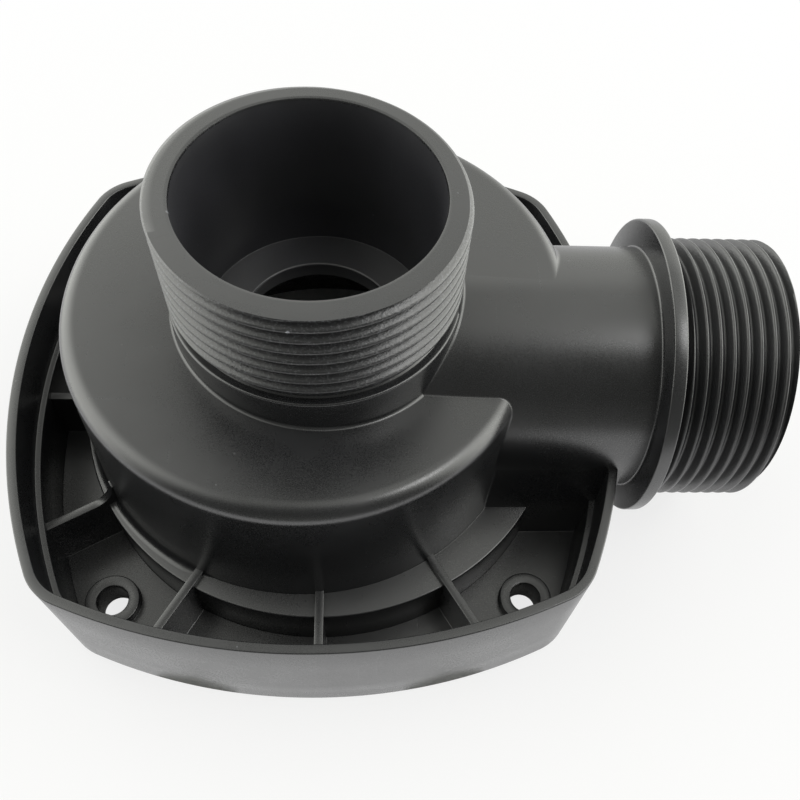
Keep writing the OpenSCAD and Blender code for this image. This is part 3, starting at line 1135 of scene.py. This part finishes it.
@dataclass
class Fillets:
    """Small roundings where the neck, the ramp, the pipe and the casing's wall meet."""

    ramp_span: tuple[float, float, int] = (-44.0, -359.5, 240)
    ramp_size: float = 0.55
    crown_span: tuple[float, float, int] = (-17.6, 5.4, 60)
    crown_size: float = 0.6
    front_size: float = 0.6
    back_size: float = 1.2
    ramp_end: float = 14.5

    def neck_on_ramp(self) -> Shell:
        """Rounding at the neck's foot, all along the ramp.

        Returns:
            The rounding's shell.
        """
        rows, (first, last, count) = [], self.ramp_span
        for k in range(count + 1):
            angle = first + (last - first) * k / count
            rows.append((around(NECK, angle, SPIRAL.height(angle)), UP, around(1.0, angle, 0.0)))
        return fillet_strip(rows, self.ramp_size)

    def neck_on_pipe(self) -> Shell:
        """Rounding where the pipe's crown meets the neck.

        Returns:
            The rounding's shell.
        """
        rows, (first, last, count) = [], self.crown_span
        for k in range(count + 1):
            y = first + (last - first) * k / count
            x, z = math.sqrt(NECK ** 2 - y * y), math.sqrt(PIPE.radius ** 2 - y * y)
            neck, pipe = (x / NECK, y / NECK, 0.0), (0.0, y / PIPE.radius, z / PIPE.radius)
            rows.append(((x, y, PIPE.height + z), neck, pipe))
        return fillet_strip(rows, self.crown_size)

    def pipe_corner(self, front: bool) -> Shell:
        """Rounding up the casing's wall beside the pipe and over the ramp's edge.

        The one in front goes on along the ramp to the neck.

        Args:
            front: True for the corner in front of the pipe, False for the one behind it.

        Returns:
            The rounding's shell.
        """
        e, low = SPIRAL.edge_radius, LEDGE - 0.2
        hand, offset = (-1.0, SPIRAL.offset) if front else (1.0, 0.0)
        rows: list[tuple[Spot, Spot, Spot]] = []

        def place(level: float, rise: float, reach: Callable[[float], float]) -> float:
            """Adds a row at a height.

            Args:
                level: The height.
                rise: Angle by which the casing's normal is risen.
                reach: Gives the casing's radius at a heading in degrees.

            Returns:
                Height of the ramp at the row's heading.
            """
            half, aside, above = PIPE.side(level)
            y, x = hand * half, 30.0
            for _ in range(8):
                r = reach(math.degrees(math.atan2(y, x)))
                x = math.sqrt(r * r - y * y)
            flat, c = math.hypot(x + offset, y), math.cos(rise)
            wall = (c * (x + offset) / flat, c * y / flat, math.sin(rise))
            rows.append(((x, y, level), wall, (0.0, hand * aside, above)))
            return SPIRAL.height(math.degrees(math.atan2(y, x)) - (0.0 if front else 360.0))

        top = SPIRAL.height(SPIRAL.tongue if front else SPIRAL.first - SPIRAL.turn + 30.0)
        for k in range(30):
            level = low + (top - e - low) * k / 30
            top = place(level, 0.0, lambda a, z=level: SPIRAL.side(a, z))
        for k in range(18):
            t, crown = math.radians(5.0 * k), top - e
            level = crown + e * math.sin(t)
            top = place(level, t, lambda a, t=t, z=crown: SPIRAL.side(a, z) - e + e * math.cos(t))
        last = rows[-1][0][0]
        for k in range(1, 37 if front else 1):
            x, level = last + (self.ramp_end - last) * k / 36, rows[-1][0][2]
            for _ in range(6):
                half, aside, above = PIPE.side(level)
                level = SPIRAL.height(math.degrees(math.atan2(-half, x)))
            rows.append(((x, -half, level), UP, (0.0, -aside, above)))
        return fillet_strip(rows, self.front_size if front else self.back_size)

    def build(self) -> None:
        """Builds and dresses the roundings as one object."""
        strips = [self.neck_on_ramp(), self.neck_on_pipe(), self.pipe_corner(True), self.pipe_corner(False)]
        dress(join("corner_roundings", strips), [SATIN], 60.0)


# -------------------- studio


@dataclass
class Studio:
    """Plain pale floor, soft light from above and behind, and the camera."""

    eye: Spot = (0.00746, -0.09506, 0.15547)
    yaw: float = 8.27
    pitch: float = -62.14
    roll: float = 7.34
    focal_px: float = 839.54
    centre_px: tuple[float, float] = (418.69, 497.44)
    frame_px: float = 800.0
    sky: tuple[tuple[float, float], ...] = (
        (-1.0, 0.24), (-0.9, 0.12), (-0.66, 0.12), (-0.40, 0.16), (-0.26, 0.26), (0.0, 0.42),
        (0.2, 0.44), (0.45, 0.42), (0.58, 0.62), (0.70, 1.05), (0.82, 1.10), (1.0, 0.95),
    )
    flank_left: tuple[float, float, float, float] = (-0.17, -0.78, 0.0, 2.0)
    flank_right: tuple[float, float, float, float] = (0.34, 0.84, 0.0, 2.6)
    flank_front: tuple[float, float] = (-0.55, -0.1)
    band_x: tuple[tuple[float, float], ...] = ((0.04, 0.14), (0.34, 0.24))
    band_y: tuple[tuple[float, float], ...] = ((-0.3, 0.0), (0.58, 0.46))
    band_level: float = 0.6
    sky_tone: Spot = (1.0, 1.01, 0.955)
    shade_radius: float = 0.0455
    shade_half: float = 0.0545
    shade_corner: float = 0.0595
    glow_reach: tuple[float, float, float, float] = (0.09, 0.20, 0.78, 1.0)
    floor_half: float = 0.24
    lamp_place: Spot = (0.41, -0.13, 0.70)
    lamp_aim: Spot = (0.03, 0.0, 0.03)
    lamp_size: float = 0.24
    lamp_power: float = 0.6

    def camera(self) -> None:
        """Places the camera at the photograph's viewpoint."""
        yaw, pit, rol = (math.radians(v) for v in (self.yaw, self.pitch, self.roll))
        look = Vector((math.sin(yaw) * math.cos(pit), math.cos(yaw) * math.cos(pit), math.sin(pit)))
        right = Vector((math.cos(yaw), -math.sin(yaw), 0.0))
        up = right.cross(look)
        right_b = math.cos(rol) * right + math.sin(rol) * up
        up_b = -math.sin(rol) * right + math.cos(rol) * up
        data = bpy.data.cameras.new("camera")
        data.sensor_width = 36.0
        data.sensor_fit = "HORIZONTAL"
        data.lens = 36.0 * self.focal_px / self.frame_px
        data.shift_x = (self.frame_px / 2 - self.centre_px[0]) / self.frame_px
        data.shift_y = (self.centre_px[1] - self.frame_px / 2) / self.frame_px
        data.clip_start = 0.01
        view = bpy.data.objects.new("camera", data)
        bpy.context.scene.collection.objects.link(view)
        basis = Matrix((right_b, up_b, -look)).transposed().to_4x4()
        view.matrix_world = Matrix.Translation(Vector(self.eye)) @ basis
        bpy.context.scene.camera = view

    def floor(self) -> None:
        """Lays the pale floor."""
        half = self.floor_half
        mesh = bpy.data.meshes.new("floor")
        corners = [(-half, -half, 0), (half, -half, 0), (half, half, 0), (-half, half, 0)]
        mesh.from_pydata(corners, [], [(0, 1, 2, 3)])
        piece = bpy.data.objects.new("floor", mesh)
        bpy.context.scene.collection.objects.link(piece)
        material = bpy.data.materials.new("pale_floor")
        bench = NodeBench(material)
        base = bench.out("BsdfDiffuse", "BSDF", {"Color": (0.86, 0.86, 0.85, 1.0)})
        glow = bench.out("Emission", "Emission", {"Color": (1.0, 1.0, 1.0, 1.0), "Strength": 1.0})
        path = bench.add("LightPath")
        place = bench.out("TexCoord", "Object")
        away = bench.out("VectorMath", "Value", {"0": place}, operation="LENGTH")
        sides = bench.add("SeparateXYZ", {"0": place})
        out_x, out_y = (bench.math("ABSOLUTE", sides.outputs[k]) for k in ("X", "Y"))
        past_side = bench.math("GREATER_THAN", bench.math("MAXIMUM", out_x, out_y), self.shade_half)
        past_corner = bench.math("GREATER_THAN", away, self.shade_corner)
        past = bench.math("MAXIMUM", past_side, past_corner)
        shine = bench.math("MULTIPLY", path.outputs["Is Glossy Ray"], past)
        seen = bench.math("MULTIPLY", path.outputs["Is Camera Ray"], bench.ramp(away, *self.glow_reach))
        clear = bench.ramp(away, self.shade_radius, self.shade_radius + MM)
        share = bench.math("MULTIPLY", bench.math("MAXIMUM", seen, shine), clear)
        mix = bench.out("MixShader", "Shader", {"0": share, "1": base, "2": glow})
        bench.add("OutputMaterial", {"Surface": mix})
        mesh.materials.append(material)

    def lamp(self) -> None:
        """Hangs one soft lamp above."""
        data = bpy.data.lights.new("overhead", "AREA")
        data.shape = "RECTANGLE"
        data.size = data.size_y = self.lamp_size
        data.energy = self.lamp_power
        piece = bpy.data.objects.new("overhead", data)
        bpy.context.scene.collection.objects.link(piece)
        heading = Vector(self.lamp_aim) - Vector(self.lamp_place)
        piece.rotation_euler = heading.to_track_quat("-Z", "Y").to_euler()
        piece.location = self.lamp_place

    def world(self) -> None:
        """Sets a soft sky, bright behind and above and dim in front, that looks pale to the camera."""
        world = bpy.data.worlds.new("sky")
        bench = NodeBench(world)
        parts = bench.add("SeparateXYZ", {"0": bench.out("TexCoord", "Generated")})
        x, y = parts.outputs["X"], parts.outputs["Y"]
        level = bench.add("ValToRGB", {"Fac": bench.ramp(y, -1.0, 1.0)})
        stops = level.color_ramp.elements
        while len(stops) < len(self.sky):
            stops.new(0.5)
        for stop, (heading_y, strength) in zip(stops, self.sky):
            stop.position = (heading_y + 1.0) / 2.0
            stop.color = (*(strength / 2.0,) * 3, 1.0)
        flanks = bench.math("ADD", bench.ramp(x, *self.flank_left), bench.ramp(x, *self.flank_right))
        flanks = bench.math("MULTIPLY", flanks, bench.ramp(y, *self.flank_front))
        band = bench.ramp(x, *self.band_x[0], 0.0, self.band_level)
        for source, span in ((x, self.band_x[1]), (y, self.band_y[0]), (y, self.band_y[1])):
            band = bench.math("MULTIPLY", band, bench.ramp(source, *span))
        strength = bench.math("MULTIPLY", level.outputs["Color"], 2.0)
        strength = bench.math("ADD", strength, bench.math("ADD", band, flanks))
        soft = {"Color": (*self.sky_tone, 1.0), "Strength": strength}
        pale = {"Color": (1.0, 1.0, 1.0, 1.0), "Strength": 1.0}
        mix = {
            "0": bench.out("LightPath", "Is Camera Ray"),
            "1": bench.out("Background", "Background", soft),
            "2": bench.out("Background", "Background", pale),
        }
        bench.add("OutputWorld", {"Surface": bench.out("MixShader", "Shader", mix)})
        bpy.context.scene.world = world

    def build(self) -> None:
        """Sets up the camera, the floor, the sky and the lamp."""
        self.camera()
        self.floor()
        self.world()
        self.lamp()
        bpy.context.scene.view_settings.view_transform = "Standard"


def main() -> None:
    """Builds the cover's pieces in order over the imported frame."""
    logging.basicConfig(level=logging.INFO, format="%(name)s %(message)s")
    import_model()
    for finish in (SATIN, GRAINED, WORN, BORE_PAINTED_LIGHT):
        finish.material()
    bore_cutter = cutter(*PIPE.bore_tool, Axis.LEVEL, PIPE.centre)
    casing = Casing(bore_cutter)
    passage = casing.passage_cutter()
    Tray(bore_cutter).build()
    casing.build()
    DischargePort(bore_cutter, passage).build()
    SuctionPort().build()
    Fillets().build()
    discard([bore_cutter, passage])
    Studio().build()


if __name__ == "__main__":
    main()
